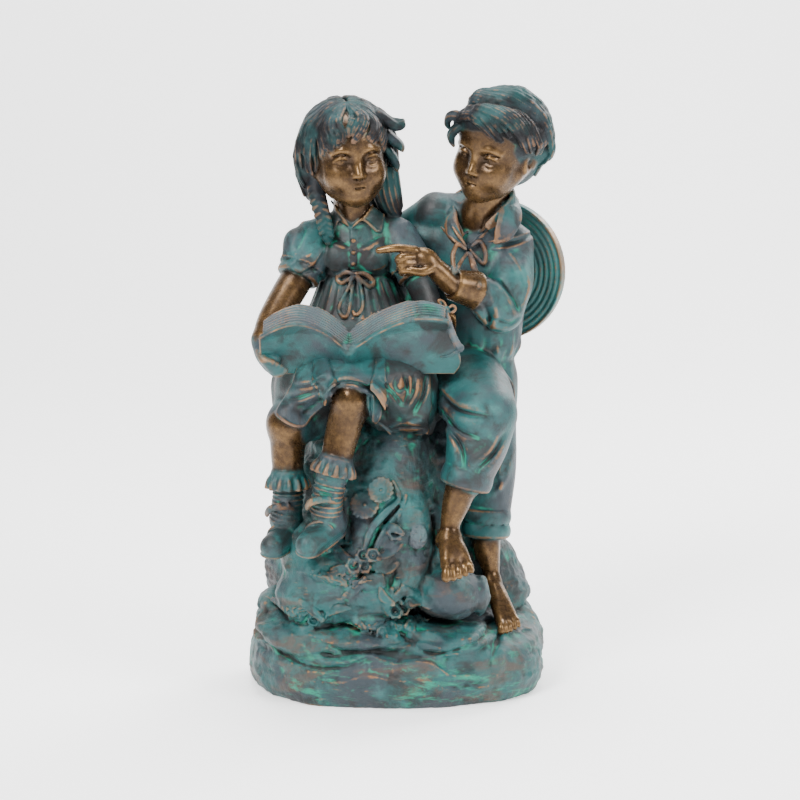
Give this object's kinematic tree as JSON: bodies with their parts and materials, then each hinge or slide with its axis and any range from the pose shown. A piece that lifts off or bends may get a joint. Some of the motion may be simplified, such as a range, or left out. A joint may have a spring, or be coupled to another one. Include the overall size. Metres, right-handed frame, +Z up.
{
  "type": "garden statue",
  "caption": "Cast garden statue of a girl and a boy reading an open book on a rock, with an oval base, flowers and a straw hat.",
  "frame": {"origin": "centre of the flat underside of the base", "axes": "+Z up, +X to the viewer's right, +Y towards the back of the statue; the children face -Y"},
  "size_m": [0.2031, 0.1537, 0.381],
  "materials": {
    "verdigris_bronze": "cast resin with an antique bronze and verdigris finish, satin on the skin and matt on the cloth and rock"
  },
  "bodies": {
    "root": {"statue": "verdigris_bronze"}
  },
  "joints": []
}
